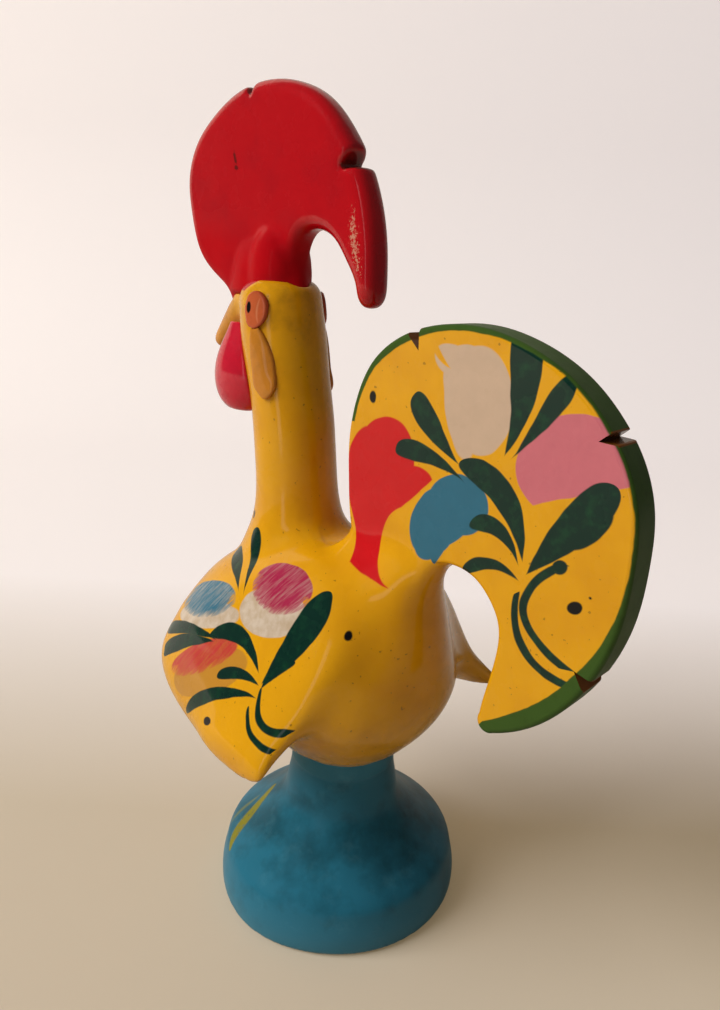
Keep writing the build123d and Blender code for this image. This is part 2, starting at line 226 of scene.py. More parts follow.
class Shader:
    """The nodes of one material, in millimetres to the left, ahead and up."""

    def __init__(self, name):
        self.material = bpy.data.materials.new(name)
        self.material.use_nodes = True
        self.tree = self.material.node_tree
        self.tree.nodes.clear()
        place = self.node("ShaderNodeTexCoord", output="Object")
        self.place = self.node("ShaderNodeVectorMath", {"operation": "SCALE"}, {0: place, "Scale": 1 / MM})
        self.aside, back, self.up = self.split(self.place)
        self.ahead = -back

    def node(self, kind, settings=None, sockets=None, output=0):
        """any node: its settings first, then the values or links of its sockets"""
        made = self.tree.nodes.new(kind)
        for name, setting in (settings or {}).items():
            if name == "stops":
                elements = made.color_ramp.elements
                while len(elements) < len(setting):
                    elements.new(1)
                for element, (position, shade) in zip(elements, setting):
                    element.position = position
                    element.color = (shade, shade, shade, 1)
            else:
                setattr(made, name, setting)
        for name, value in (sockets or {}).items():
            if isinstance(value, Value):
                self.tree.links.new(value.socket, made.inputs[name])
            else:
                made.inputs[name].default_value = value
        return Value(self, made.outputs[output])

    def split(self, vector):
        made = self.node("ShaderNodeSeparateXYZ", sockets={0: vector})
        return [Value(self, socket) for socket in made.socket.node.outputs]

    def join(self, *numbers):
        return self.node("ShaderNodeCombineXYZ", sockets=dict(enumerate(numbers)))

    def noise(self, size, detail=2.0, rough=0.5, vector=None, output=0):
        """noise from 0 to 1 whose lumps are about the size"""
        sockets = {
            "Vector": vector or self.place,
            "Scale": 1 / size,
            "Detail": detail,
            "Roughness": rough,
        }
        return self.node("ShaderNodeTexNoise", sockets=sockets, output=output)

    def stretched(self, first, second, turn, long, short):
        """noise drawn out into streaks along one direction of a plane"""
        cosine, sine = math.cos(math.radians(turn)), math.sin(math.radians(turn))
        lengthwise = second.times_plus(sine / long, first * (cosine / long))
        crosswise = second.times_plus(cosine / short, first * (-sine / short))
        return self.noise(1, 3.0, 0.6, vector=self.join(lengthwise, crosswise, 0.0))

    def mix(self, factor, first, second):
        sockets = {0: factor, 6: self.colour(first), 7: self.colour(second)}
        return self.node("ShaderNodeMix", {"data_type": "RGBA"}, sockets, output=2)

    @staticmethod
    def colour(value):
        return value if isinstance(value, Value) else (*value, 1)

    def wavered(self, first, second, size, amount):
        """the two directions of a painted plane, moved a little as an unsteady hand does"""
        first_noise, second_noise, _ = self.split(self.noise(size, 1.0, output=1))
        return (
            first_noise.times_plus(amount, first) - amount / 2,
            second_noise.times_plus(amount, second) - amount / 2,
        )

    def beyond(self, first, second, place, way):
        """how far a point lies beyond a straight line through a place, along a way in degrees"""
        cosine, sine = math.cos(math.radians(way)), math.sin(math.radians(way))
        start = place[0] * cosine + place[1] * sine
        return second.times_plus(sine, first.times_plus(cosine, -start))

    def stroke(self, first, second, root, tip, half_wide, bend=0.0, root_power=1.0, tip_power=0.4):
        """one touch of the brush; above zero inside, in millimetres.
        The powers shape its width: near 0 a blunt end, 1 a pointed one."""
        run, rise = tip[0] - root[0], tip[1] - root[1]
        length = math.hypot(run, rise)
        start = (root[0] * run + root[1] * rise) / length**2
        share = first.times_plus(run / length**2, -start)
        share = second.times_plus(rise / length**2, share, clamp=True)
        rest = 1 - share
        off = first.times_plus(-rise / length, (root[0] * rise - root[1] * run) / length)
        off = second.times_plus(run / length, off)
        if bend:
            off = (share * rest).times_plus(-4 * bend, off)
        off = abs(off)
        steep = 4 * abs(bend) / length
        if steep > 0.6:
            slope = (rest - share) * steep
            off = off / slope.times_plus(slope, 1).root()
        middle = root_power / (root_power + tip_power)
        peak = middle**root_power * (1 - middle) ** tip_power
        width = share**root_power * rest**tip_power
        return width.times_plus((half_wide + HALF_EDGE) / peak, -off)

    def oval(self, first, second, middle, half_long, half_short, turn=0.0):
        """oval dab; above zero inside, in millimetres"""
        cosine, sine = math.cos(math.radians(turn)), math.sin(math.radians(turn))
        start = (middle[0] * cosine + middle[1] * sine) / half_long
        lengthwise = second.times_plus(sine / half_long, first.times_plus(cosine / half_long, -start))
        start = (middle[1] * cosine - middle[0] * sine) / half_short
        crosswise = second.times_plus(cosine / half_short, first.times_plus(-sine / half_short, -start))
        far = lengthwise.times_plus(lengthwise, crosswise * crosswise).root()
        return far.times_plus(-half_short, half_short + HALF_EDGE)

    def painted(self, first, second, strokes=(), ovals=()):
        """all marks of one colour together"""
        marks = [self.stroke(first, second, *row) for row in strokes]
        marks += [self.oval(first, second, *row) for row in ovals]
        union = marks[0]
        for mark in marks[1:]:
            union = union.most(mark)
        return union

    def finish(self, base, rough, coat, bump=None, coat_rough=0.08, glow=None):
        """the material, with its surface shader on the output"""
        sockets = {
            "Base Color": base,
            "Roughness": rough,
            "Specular IOR Level": 0.08,
            "Coat Weight": coat,
            "Coat Roughness": coat_rough,
        }
        if bump is not None:
            bump_sockets = {"Height": bump, "Distance": 0.1 * MM, "Strength": 1.0}
            sockets["Normal"] = self.node("ShaderNodeBump", sockets=bump_sockets)
        if glow is not None:
            sockets.update({"Emission Color": glow, "Emission Strength": 1.0})
        surface = self.node("ShaderNodeBsdfPrincipled", sockets=sockets)
        out = self.tree.nodes.new("ShaderNodeOutputMaterial")
        self.tree.links.new(surface.socket, out.inputs["Surface"])
        return self.material


# Marks on the tail, on the plane of millimetres ahead and up.
# Strokes: root, tip, half width, bend, root power, tip power. Ovals: middle, halves, turn.
# Edges: a place on a straight edge, and a way across it in degrees, towards its painted side.
TAIL_LEAVES = (
    ((-39.9, 146.6), (-23.5, 161.9), 3.4, -0.8, 1.25, 0.35),
    ((-42.3, 142.5), (-18.5, 147.3), 2.7, 2.3, 1.35, 0.35),
    ((-51.5, 151.7), (-54.0, 178.2), 4.2, 1.9, 0.9, 0.12),
    ((-52.9, 151.0), (-66.3, 172.0), 2.4, 0.6, 1.3, 0.35),
    ((-59.7, 128.4), (-39.7, 148.2), 3.6, 5.2, 0.95, 0.45),
    ((-58.9, 126.9), (-43.9, 134.2), 2.3, 3.7, 1.1, 0.4),
    ((-59.3, 123.6), (-43.0, 120.6), 1.7, 3.3, 0.8, 0.35),
    ((-60.7, 125.6), (-79.2, 151.4), 4.3, -0.1, 1.0, 0.45),
    ((-69.8, 131.2), (-74.1, 106.8), 1.1, 10.9, 0.05, 0.02),
    ((-59.0, 120.8), (-74.4, 102.9), 1.1, 6.1, 0.1, 0.05),
)
TAIL_LEAF_DABS = (
    ((-73.9, 141.2), 7.4, 3.7, -50),
    ((-69.1, 130.3), 2.1, 1.6, -38),
)
TAIL_CREAM = (
    ((-43.3, 163.2), 12.7, 9.2, 84),
    ((-37.8, 161.8), 13.5, 4.6, 76),
    ((-35.2, 171.3), 6.2, 3.7, 15),
    ((-40.0, 171.5), 7.0, 4.0, 5),
)
TAIL_FLICK = (((-28.5, 175.0), (-34.5, 169.5), 0.9, 0.6, 0.3, 0.8),)
TAIL_RED = (
    ((-14.9, 143.2), 11.9, 10.1, -70),
    ((-8.7, 136.3), 14.7, 8.0, -90),
    ((-24.7, 138.2), 7.5, 5.5, -24),
    ((-17.0, 131.5), 10.5, 8.5, -62),
    ((-11.0, 121.0), 10.0, 8.5, -90),
)
TAIL_RED_TONGUE = (((-24.6, 110.4), (-8.0, 117.0), 3.5, 0.0, 1.0, 0.3),)
# Bay that the red petal leaves free: an oval, and what lies past an edge above a level
RED_BAY = ((-27.5, 122.0), 11.2, 11.2)
RED_BAY_EDGE = ((-22.0, 132.0), 225)
RED_BAY_EDGE_FROM = 129.0
# Straight ends of the red petal
RED_BOTTOM_EDGE = ((-9.0, 113.5), 100.4)
RED_FRONT_EDGE = ((-4.5, 124.0), 157.6)
TAIL_BLUE = (
    ((-39.5, 137.0), 9.5, 7.6, -20),
    ((-33.0, 131.0), 10.5, 7.0, -62),
    ((-31.5, 125.5), 5.5, 4.5, -70),
    ((-37.5, 131.0), 8.0, 4.2, -40),
)
TAIL_BLUE_TONGUE = (((-33.9, 119.4), (-34.5, 130.0), 3.0, 0.0, 0.8, 0.3),)
TAIL_PINK = (((-68.5, 153.1), 14.0, 11.3, -21),)
PINK_EDGE = ((-61.0, 142.9), 67)
TAIL_DOTS = (((-9.6, 159.1), 1.6, 1.1, 90), ((-74.0, 122.3), 2.0, 1.5, -43), ((-77.3, 126.0), 0.35, 0.3))

# Green rim of the tail: direction from the middle of the tail in degrees, width in millimetres.
# Below zero there is no rim.
RIM_MIDDLE = (-44.0, 138.0)
RIM_WIDTHS = (
    (-180, 0.9), (-169, 1.1), (-142, 3.4), (-135, 4.5), (-127, 5.3), (-111, 5.5), (-102, 3.8),
    (-98, 2.2), (-94, -4.0), (6, -5.0), (11, 2.0), (46, 2.2), (56, 2.6), (64, 1.9), (87, 1.5),
    (121, 0.6), (165, 0.6), (180, 0.9),
)
RIM_STOPS = 32
RIM_REACH = 100

# File cuts: bottom of the cut ahead and up, and the way out in degrees from ahead.
# The slope is the half width that a cut gains per millimetre outwards; the margin lies round it.
TAIL_CUTS = (((-24.1, 172.6), 65), ((-73.9, 159.8), 160), ((-75.9, 107.4), 215))
COMB_CUTS = (((43.9, 234.1), 75), ((8.0, 213.9), 150))
CUT_SLOPE = 0.40
CUT_MARGIN = 0.5

# Marks on the wings, on a plane that lies against them: ahead, and up the slope of the wing
WING_LEAN = math.radians(29.1)
WING_DEPTH = 61.5
WING_LEAVES = (
    ((17.5, 71.8), (26.9, 93.2), 2.3, 0.5, 1.6, 0.35),
    ((20.3, 73.4), (35.6, 84.8), 2.8, 0.6, 1.4, 0.35),
    ((21.3, 58.5), (52.3, 51.8), 2.2, 1.5, 0.8, 0.2),
    ((22.3, 57.6), (48.6, 45.4), 2.7, 1.6, 0.8, 0.2),
    ((0.1, 56.8), (25.5, 58.9), 2.6, 5.3, 0.9, 0.5),
    ((-2.0, 54.8), (-10.4, 85.1), 4.3, 1.8, 0.9, 0.5),
    ((-2.5, 53.9), (-10.1, 64.4), 1.3, -1.2, 0.6, 0.35),
    ((-1.6, 54.1), (15.8, 49.9), 1.8, 1.8, 0.8, 0.35),
    ((-2.3, 50.9), (26.6, 34.2), 2.1, 3.0, 0.8, 0.4),
    ((-2.4, 54.1), (-15.5, 47.0), 1.1, 5.2, 0.25, 0.05),
    ((-0.6, 47.8), (-13.9, 41.1), 0.9, 2.8, 0.25, 0.05),
)
WING_WHITE = (((5.0, 73.2), 12.7, 7.1, -14), ((31.5, 63.2), 16.0, 4.3, -16))
WING_MAGENTA = (((5.4, 80.3), 11.6, 7.3, -5),)
WING_BLUE = (((35.0, 67.3), 14.8, 6.0, -16),)
WING_OCHRE = (((21.2, 48.7), 17.8, 6.8, -31),)
WING_CORAL = (((26.0, 51.4), 16.6, 4.6, -33),)
WING_DOTS = (((-19.9, 76.6), 1.3, 0.9, 80), ((12.6, 37.4), 1.9, 1.2, -17), ((30.6, 96.6), 1.3, 0.8, 80))

# Red paint on the crown: from the edge its lower line drops by the rise, over the run
CROWN_EDGE = 31.0
CROWN_RUN = 6.0
CROWN_LEVEL = 183.2
CROWN_RISE = 4.6

# Where the ochre of the beak begins, ahead and up, and how high the blue of the foot reaches
BEAK_ROOT = (47.0, 155.0)
FOOT_LEVEL = 49.4

# Marks on comb and eyes, ahead and up, and on the foot, along its round and up
COMB_WEAR_AND_HIGHLIGHT = ((-4.6, 185.0), (1.0, 210.0), 5.0, -2.0, 0.6, 0.6)
COMB_CHIPS = (((50.5, 219.3), 1.6, 0.5, 70), ((50.0, 216.8), 1.0, 0.6, 20))
EYE_DISC = ((30.4, 178.2), 5.2, 3.7, 90)
EYE_HIGHLIGHT = ((28.6, 174.6), (28.6, 181.6), 0.35, -0.7, 0.4, 0.4)
EYE_PUPIL = ((32.2, 178.8), 1.5, 0.75, 90)
FOOT_RADIUS = 30.0
FOOT_TOUCH = ((13.4, 13.0), (31.0, 25.2), 1.6, 0.8, 0.25, 0.25)
FOOT_FAINT_TOUCH = ((22.6, 14.0), (29.6, 20.8), 0.9, 0.0, 0.4, 0.4)


def clay_bump(shader, lumps=1.0):
    """slow lumps from the fingers, brush marks in the paint, and its fine skin"""
    hand = shader.noise(16, 1.0) * (5.0 * lumps)
    brush = shader.noise(2.2, 3.0, 0.6) * 0.25
    return hand + brush + shader.noise(0.6, 2.0) * 0.08


def yellow_ground(shader):
    """yellow with thicker places, streaks and specks"""
    paint = bpy.context.scene.rooster_paint
    patches = (shader.noise(22, 3.0, 0.55) - 0.47).mask(0.35)
    ground = shader.mix(patches * 0.55, paint.yellow, paint.amber)
    streaks = (shader.stretched(shader.ahead, shader.up, 70, 9, 1.1) - 0.5).mask(0.5)
    ground = shader.mix(streaks * 0.12, ground, paint.amber)
    specks = (shader.noise(1.3, 1.0) - 0.735).mask(0.04)
    return shader.mix(specks * 0.5, ground, paint.soot)


def blue_ground(shader):
    """matt blue with smudges, paler where it is rubbed thin, with a painted shade band round the middle of
    the foot and painted light at its top and bottom
    """
    paint = bpy.context.scene.rooster_paint
    smudge = shader.noise(13, 4.0, 0.6)
    # Painted shade: the smudges gather in a darker band round the middle of the foot
    shade_band = 1 - abs(shader.up - 24.0).times_plus(1 / 16, 0.0, clamp=True)
    dark = (smudge + shade_band * 0.3 - 0.56).mask(0.3)
    ground = shader.mix(dark * 0.8, paint.blue, paint.smudge_and_shade_blue)
    thin = (shader.noise(7, 4.0, 0.65) - 0.56).mask(0.2) * 0.12
    # Painted light: the blue is paler above 43 mm, where the body meets the foot, and low on the foot,
    # below 14 mm
    wear_and_light = (shader.up - 43).mask(1) * 0.16
    low = (14 - shader.up).mask(10) * 0.16
    return shader.mix(thin + wear_and_light + low, ground, paint.rubbed_and_lit_blue)


def leaf_colour(shader):
    """dark green, lighter where the brush ran thin"""
    paint = bpy.context.scene.rooster_paint
    thin = (shader.noise(3.5, 3.0, 0.65) - 0.5).mask(0.3)
    return shader.mix(thin * 0.8, paint.leaf, paint.leaf_light)


def add_petals(shader, ground, petals):
    """petals of the tail, each a little uneven in its colour"""
    mottle = shader.noise(5, 3.0, 0.6)
    for shape, colour, depth in petals:
        shade = shader.mix(mottle * depth * 2, colour, darker(colour, 0.55))
        ground = shader.mix(shape.mask(EDGE), ground, shade)
    return ground


def add_root_petals(shader, ground, ahead, up):
    """red and blue petal, which run from the tail down onto its root on the body"""
    paint = bpy.context.scene.rooster_paint
    red = shader.painted(ahead, up, TAIL_RED_TONGUE, TAIL_RED)
    bay = shader.beyond(ahead, up, *RED_BAY_EDGE).least(up - RED_BAY_EDGE_FROM)
    red = red.least(-bay.most(shader.oval(ahead, up, *RED_BAY)))
    for edge in (RED_BOTTOM_EDGE, RED_FRONT_EDGE):
        red = red.least(shader.beyond(ahead, up, *edge))
    blue = shader.painted(ahead, up, TAIL_BLUE_TONGUE, TAIL_BLUE)
    return add_petals(shader, ground, ((red, paint.petal_red, 0.10), (blue, paint.petal_blue, 0.16)))


def add_tail_marks(shader, ground):
    """petals, leaves and dots of the tail"""
    paint = bpy.context.scene.rooster_paint
    ahead, up = shader.wavered(shader.ahead, shader.up, 7, 0.9)
    cream = shader.painted(ahead, up, (), TAIL_CREAM)
    pink = shader.painted(ahead, up, (), TAIL_PINK).least(shader.beyond(ahead, up, *PINK_EDGE))
    yellow = ground
    ground = add_petals(shader, ground, ((cream, paint.cream, 0.16), (pink, paint.pink, 0.16)))
    flick = shader.painted(ahead, up, TAIL_FLICK)
    ground = shader.mix(flick.mask(EDGE), ground, yellow)
    ground = add_root_petals(shader, ground, ahead, up)
    leaves = shader.painted(ahead, up, TAIL_LEAVES, TAIL_LEAF_DABS)
    ground = shader.mix(leaves.mask(EDGE), ground, leaf_colour(shader))
    dots = shader.painted(ahead, up, (), TAIL_DOTS)
    return shader.mix(dots.mask(EDGE), ground, paint.black)


def cut_wall(shader, cuts):
    """inside of the file cuts, where the clay shows"""
    union = None
    for bottom, way in cuts:
        outward = shader.beyond(shader.ahead, shader.up, bottom, way)
        across = shader.beyond(shader.ahead, shader.up, bottom, way + 90)
        wedge = outward.times_plus(CUT_SLOPE, CUT_MARGIN) - abs(across)
        wedge = wedge.least(outward + CUT_MARGIN)
        union = wedge if union is None else union.most(wedge)
    normal_aside = shader.split(shader.node("ShaderNodeTexCoord", output="Normal"))[0]
    return union.mask(0.15) * (0.6 - abs(normal_aside)).mask(0.1)


def rim_width(angle):
    """width of the green rim at an angle in degrees"""
    for (low, low_width), (high, high_width) in zip(RIM_WIDTHS, RIM_WIDTHS[1:]):
        if low <= angle <= high:
            return low_width + (high_width - low_width) * (angle - low) / (high - low)
    raise ValueError(f"no rim width at {angle} degrees")


def rim_stops(node):
    """distance from the middle of the tail to the inner edge of its green rim, all the way round"""
    far = [0.0] * 360
    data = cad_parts[node].data
    for edge in data.edges:
        start, end = (data.vertices[index].co for index in edge.vertices)
        for step in range(12):
            place = start.lerp(end, step / 12) / MM
            run, rise = -place.y - RIM_MIDDLE[0], place.z - RIM_MIDDLE[1]
            angle = int(math.degrees(math.atan2(rise, run)) + 180) % 360
            far[angle] = max(far[angle], math.hypot(run, rise))
    stops = []
    for index in range(RIM_STOPS):
        share = index / (RIM_STOPS - 1)
        angle = share * 360 - 180
        around = sorted(far[int(angle + 180 + step) % 360] for step in range(-3, 4))
        width = rim_width(angle)
        inner = 1.0 if width < 0 else (around[3] - width) / RIM_REACH
        stops.append((share, inner))
    return stops


def tail_material():
    """yellow enamel with petals and leaves, and a green rim that is patchy with wear"""
    paint = bpy.context.scene.rooster_paint
    shader = Shader("tail_enamel")
    ground = add_tail_marks(shader, yellow_ground(shader))
    run, rise = shader.ahead - RIM_MIDDLE[0], shader.up - RIM_MIDDLE[1]
    angle = rise.math("ARCTAN2", rise, run).times_plus(0.5 / math.pi, 0.5)
    settings = {"stops": rim_stops("tail")}
    inner = shader.split(shader.node("ShaderNodeValToRGB", settings, {0: angle}))[0] * RIM_REACH
    far = run.times_plus(run, rise * rise).root()
    wobble = (shader.noise(5, 2.0) - 0.5) * 0.5
    green = (far - inner + wobble).mask(EDGE)
    wear_and_light = (shader.noise(3, 4.0, 0.65) - 0.5).mask(0.3)
    rim = shader.mix(wear_and_light * 0.5, paint.rim_green, darker(paint.rim_green, 0.55))
    ground = shader.mix(green, ground, rim)
    ground = shader.mix(cut_wall(shader, TAIL_CUTS), ground, paint.bare)
    rough = green.times_plus(0.22, shader.noise(7, 3.0).times_plus(0.22, 0.16))
    return shader.finish(ground, rough, green.times_plus(-0.5, 0.6), clay_bump(shader, 0.6))


def add_wing_marks(shader, ground):
    """petals, leaves and dots of the wings, the same on both sides"""
    paint = bpy.context.scene.rooster_paint
    slope_up, slope_aside = math.cos(WING_LEAN), math.sin(WING_LEAN)
    side = abs(shader.aside)
    slope = shader.up.times_plus(slope_up, side * -slope_aside)
    depth = shader.up.times_plus(slope_aside, side * slope_up)
    here = (depth - WING_DEPTH).mask(1.0)
    ahead, slope = shader.wavered(shader.ahead, slope, 7, 0.9)

    def lay(ground, shape, colour, strength=1.0):
        return shader.mix(shape.mask(EDGE) * here * strength, ground, colour)

    streaks = shader.stretched(ahead, slope, -60, 9, 0.9)
    white = shader.mix((shader.noise(4, 3.0, 0.6) - 0.35).mask(0.3), paint.dull_white, paint.white)
    ground = lay(ground, shader.painted(ahead, slope, (), WING_WHITE), white, 0.9)
    ground = lay(ground, shader.painted(ahead, slope, (), WING_OCHRE), paint.petal_ochre, 0.85)
    # Each petal: its shape, colour, what shows through, how much, and the line above which it is whole
    for petal, colour, under, share, lean, level in (
        (WING_MAGENTA, paint.magenta, white, 0.4, 0.0, 80.0),
        (WING_BLUE, paint.petal_blue, white, 0.5, 0.25, 77.5),
        (WING_CORAL, paint.coral, paint.petal_ochre, 0.4, 0.5, 62.0),
    ):
        top = shader.painted(ahead, slope, (), petal)
        whole = (slope.times_plus(1, ahead * lean) - level) * 0.5
        frayed = (top * 0.35 + (streaks - 0.44) * 2.6).most(whole)
        shade = shader.mix((streaks - 0.42).mask(0.3) * share, colour, under)
        ground = shader.mix(frayed.mask(0.7) * top.mask(EDGE) * here, ground, shade)
    ground = lay(ground, shader.painted(ahead, slope, WING_LEAVES), leaf_colour(shader))
    return lay(ground, shader.painted(ahead, slope, (), WING_DOTS), paint.black)


def body_material():
    """yellow enamel with the marks of wings and tail, red on the crown and blue at the waist"""
    paint = bpy.context.scene.rooster_paint
    shader = Shader("body_enamel")
    ground = yellow_ground(shader)
    ahead, up = shader.wavered(shader.ahead, shader.up, 7, 0.9)
    ground = add_root_petals(shader, ground, ahead, up)
    ground = add_wing_marks(shader, ground)
    wobble = shader.noise(9, 2.0)
    behind = shader.ahead.times_plus(-1 / CROWN_RUN, CROWN_EDGE / CROWN_RUN + 1, clamp=True)
    line = behind.times_plus(CROWN_RISE, CROWN_LEVEL)
    red_top = (shader.up - line + wobble * 0.8).mask(0.5)
    beak = (shader.ahead - BEAK_ROOT[0]).mask(8) * (shader.up - BEAK_ROOT[1]).mask(2)
    ground = shader.mix(beak * 0.7, ground, paint.ochre)
    # Darker brown patches over the lower rear of the body
    low_rear_patches = (shader.noise(11, 4.0, 0.65) - 0.52).mask(0.25) * (84 - shader.up).mask(30)
    ground = shader.mix(low_rear_patches * (-8 - shader.ahead).mask(16) * 0.4, ground, paint.soot)
    crown_grime = (shader.noise(6, 4.0, 0.65) - 0.46).mask(0.3) * (shader.up - 158).mask(18)
    ground = shader.mix(crown_grime * 0.3, ground, paint.soot)
    ground = shader.mix(red_top, ground, paint.red)
    foot = (FOOT_LEVEL + wobble * 2.0 - shader.up).mask(0.6)
    ground = shader.mix(foot, ground, blue_ground(shader))
    rough = foot.times_plus(0.3, shader.noise(7, 3.0).times_plus(0.22, 0.16))
    return shader.finish(ground, rough, foot.times_plus(-0.45, 0.6), clay_bump(shader))


def comb_material():
    """red enamel, rubbed and given a painted highlight on the hook, chipped on the face and dull at the
    foot of the comb
    """
    paint = bpy.context.scene.rooster_paint
    shader = Shader("comb_enamel")
    shade = (shader.noise(14, 4.0, 0.6) - 0.48).mask(0.4)
    ground = shader.mix(shade * 0.6, paint.red, paint.deep_red)
    ahead, up = shader.ahead, shader.up
    # Pale patch on the hook: partly real wear, partly a painted highlight of pale speckles
    hook = shader.stroke(ahead, up, *COMB_WEAR_AND_HIGHLIGHT)
    grain = shader.noise(0.9, 4.0, 0.75)
    wear_and_light = (hook.mask(5.0) * 0.46 + grain - 0.88).mask(0.08)
    ground = shader.mix(wear_and_light * 0.75, ground, paint.wear_and_highlight_red)
    ragged = shader.painted(ahead, up, (), COMB_CHIPS) + (grain - 0.5) * 1.6
    ground = shader.mix(ragged.mask(0.3) * 0.8, ground, paint.chip)
    ground = shader.mix(cut_wall(shader, COMB_CUTS) * 0.8, ground, paint.cut_red)
    dull = (206 - up).mask(10) * (ahead - 16).mask(6)
    rough = shader.noise(6, 3.0).times_plus(0.2, dull.times_plus(0.35, 0.16))
    return shader.finish(ground, rough, dull.times_plus(-0.65, 0.7), clay_bump(shader, 0.8))


def foot_material():
    """matt blue with two touches of an olive brush"""
    paint = bpy.context.scene.rooster_paint
    shader = Shader("foot_paint")
    ground = blue_ground(shader)
    around = shader.ahead.math("ARCTAN2", shader.ahead, shader.aside) * FOOT_RADIUS
    touch = shader.stroke(around, shader.up, *FOOT_TOUCH)
    faint = shader.stroke(around, shader.up, *FOOT_FAINT_TOUCH)
    drag = (shader.noise(1.8, 3.0, 0.6) - 0.22).mask(0.2)
    ground = shader.mix(touch.mask(0.6) * drag, ground, paint.olive)
    ground = shader.mix(faint.mask(0.8) * drag * 0.5, ground, paint.thin_olive)
    rough = shader.noise(9, 3.0).times_plus(0.25, 0.3)
    return shader.finish(ground, rough, 0.25, clay_bump(shader, 0.8), coat_rough=0.3)


def pellet_material(name, colour, marks=None, coat=0.6):
    """enamel of a small drop or pellet"""
    shader = Shader(name)
    mottle = (shader.noise(3, 3.0, 0.6) - 0.48).mask(0.4)
    ground = shader.mix(mottle * 0.45, colour, darker(colour, 0.6))
    if marks:
        ground = marks(shader, ground)
    rough = shader.noise(4, 2.0).times_plus(0.2, 0.18)
    return shader.finish(ground, rough, coat, clay_bump(shader, 0.3))


def eye_marks(shader, ground):
    """darker edge, a pale crescent of painted highlight, and pupil"""
    paint = bpy.context.scene.rooster_paint
    disc = shader.oval(shader.ahead, shader.up, *EYE_DISC)
    ground = shader.mix((0.8 - disc).mask(0.8) * 0.6, ground, paint.eye_rim)
    # Painted highlight: a pale crescent on the rear side of the eye
    highlight = shader.stroke(shader.ahead, shader.up, *EYE_HIGHLIGHT)
    ground = shader.mix(highlight.mask(0.4) * 0.3, ground, paint.eye_highlight)
    pupil = shader.oval(shader.ahead, shader.up, *EYE_PUPIL)
    return shader.mix(pupil.mask(0.2), ground, paint.black)


def floor_material(stage):
    """pale floor, which the camera sees paler still towards the backdrop"""
    shader = Shader("floor_paint")
    cloud = shader.noise(120, 2.0) * 0.2
    ground = shader.mix(cloud, stage.floor, darker(stage.floor, 0.9))
    behind = shader.beyond(shader.ahead, shader.aside, (0, 0), VIEW_TURN - 180)
    glow = shader.mix((behind - GLOW_FROM).mask(GLOW_RUN), stage.near_glow, stage.far_glow)
    seen = shader.node("ShaderNodeLightPath", output="Is Camera Ray")
    for kind in ("Is Glossy Ray", "Is Transmission Ray"):
        seen = seen.most(shader.node("ShaderNodeLightPath", output=kind) * GLOW_REFLECTED)
    glow = shader.mix(seen, (0, 0, 0), glow)
    return shader.finish(ground, 0.7, 0.0, glow=glow)


def joined_copy(*nodes):
    """one mesh from copies of CAD nodes, with their doubles merged"""
    mesh = bmesh.new()
    for name in nodes:
        mesh.from_mesh(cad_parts[name].data)
    bmesh.ops.remove_doubles(mesh, verts=mesh.verts, dist=0.002 * MM)
    return mesh


def remeshed(mesh, grid):
    """one skin round everything in the mesh, on an even grid"""
    data = bpy.data.meshes.new("skin")
    mesh.to_mesh(data)
    mesh.free()
    piece = bpy.data.objects.new("skin", data)
    bpy.context.scene.collection.objects.link(piece)
    modifier = piece.modifiers.new("skin", "REMESH")
    modifier.mode = "VOXEL"
    modifier.voxel_size = grid
    depsgraph = bpy.context.evaluated_depsgraph_get()
    result = bpy.data.meshes.new_from_object(piece.evaluated_get(depsgraph))
    bpy.data.objects.remove(piece)
    bpy.data.meshes.remove(data)
    fresh = bmesh.new()
    fresh.from_mesh(result)
    bpy.data.meshes.remove(result)
    keep_outer_shell(fresh)
    return fresh


def keep_outer_shell(mesh):
    """keep the largest shell and delete those of the hollows inside"""
    left = set(mesh.verts)
    shells = []
    while left:
        start = left.pop()
        shell, edge = [start], [start]
        while edge:
            vert = edge.pop()
            for link in vert.link_edges:
                other = link.other_vert(vert)
                if other in left:
                    left.discard(other)
                    shell.append(other)
                    edge.append(other)
        shells.append(shell)
    shells.sort(key=len)
    for shell in shells[:-1]:
        bmesh.ops.delete(mesh, geom=shell, context="VERTS")


def swell(mesh, distance, share):
    """move the skin outwards by a share of the distance, which may differ from place to place"""
    mesh.normal_update()
    moves = [(vert, vert.normal * distance * share(vert.co / MM)) for vert in mesh.verts]
    for vert, move in moves:
        vert.co += move


def smooth(mesh, times, verts=None):
    """even out the skin, or only some of its points"""
    chosen = mesh.verts if verts is None else verts
    for _ in range(times):
        bmesh.ops.smooth_vert(
            mesh, verts=chosen, factor=0.5, use_axis_x=True, use_axis_y=True, use_axis_z=True
        )


def blend_creases(mesh, radius, grid, share):
    """fill the inner corners with a round of that radius, as a wet finger does"""
    swell(mesh, radius, share)
    mesh = remeshed(mesh, grid)
    smooth(mesh, 4)
    swell(mesh, -radius, share)
    return mesh


def cut_level(mesh, place, normal):
    """cut away what lies beyond a plane and close the cut"""
    cut = bmesh.ops.bisect_plane(
        mesh,
        geom=mesh.verts[:] + mesh.edges[:] + mesh.faces[:],
        dist=1e-6,
        plane_co=place,
        plane_no=normal,
        clear_outer=True,
    )
    rim = [edge for edge in cut["geom_cut"] if isinstance(edge, bmesh.types.BMEdge)]
    filled = bmesh.ops.holes_fill(mesh, edges=rim, sides=0)
    bmesh.ops.triangulate(mesh, faces=filled["faces"])


def add_plug(mesh, low_radius, high_radius, depth, middle):
    """round plug on the axis of the foot, to close a mouth under the skin"""
    bmesh.ops.create_cone(
        mesh,
        cap_ends=True,
        segments=96,
        radius1=low_radius * MM,
        radius2=high_radius * MM,
        depth=depth * MM,
        matrix=Matrix.Translation((0, 0, middle)),
    )


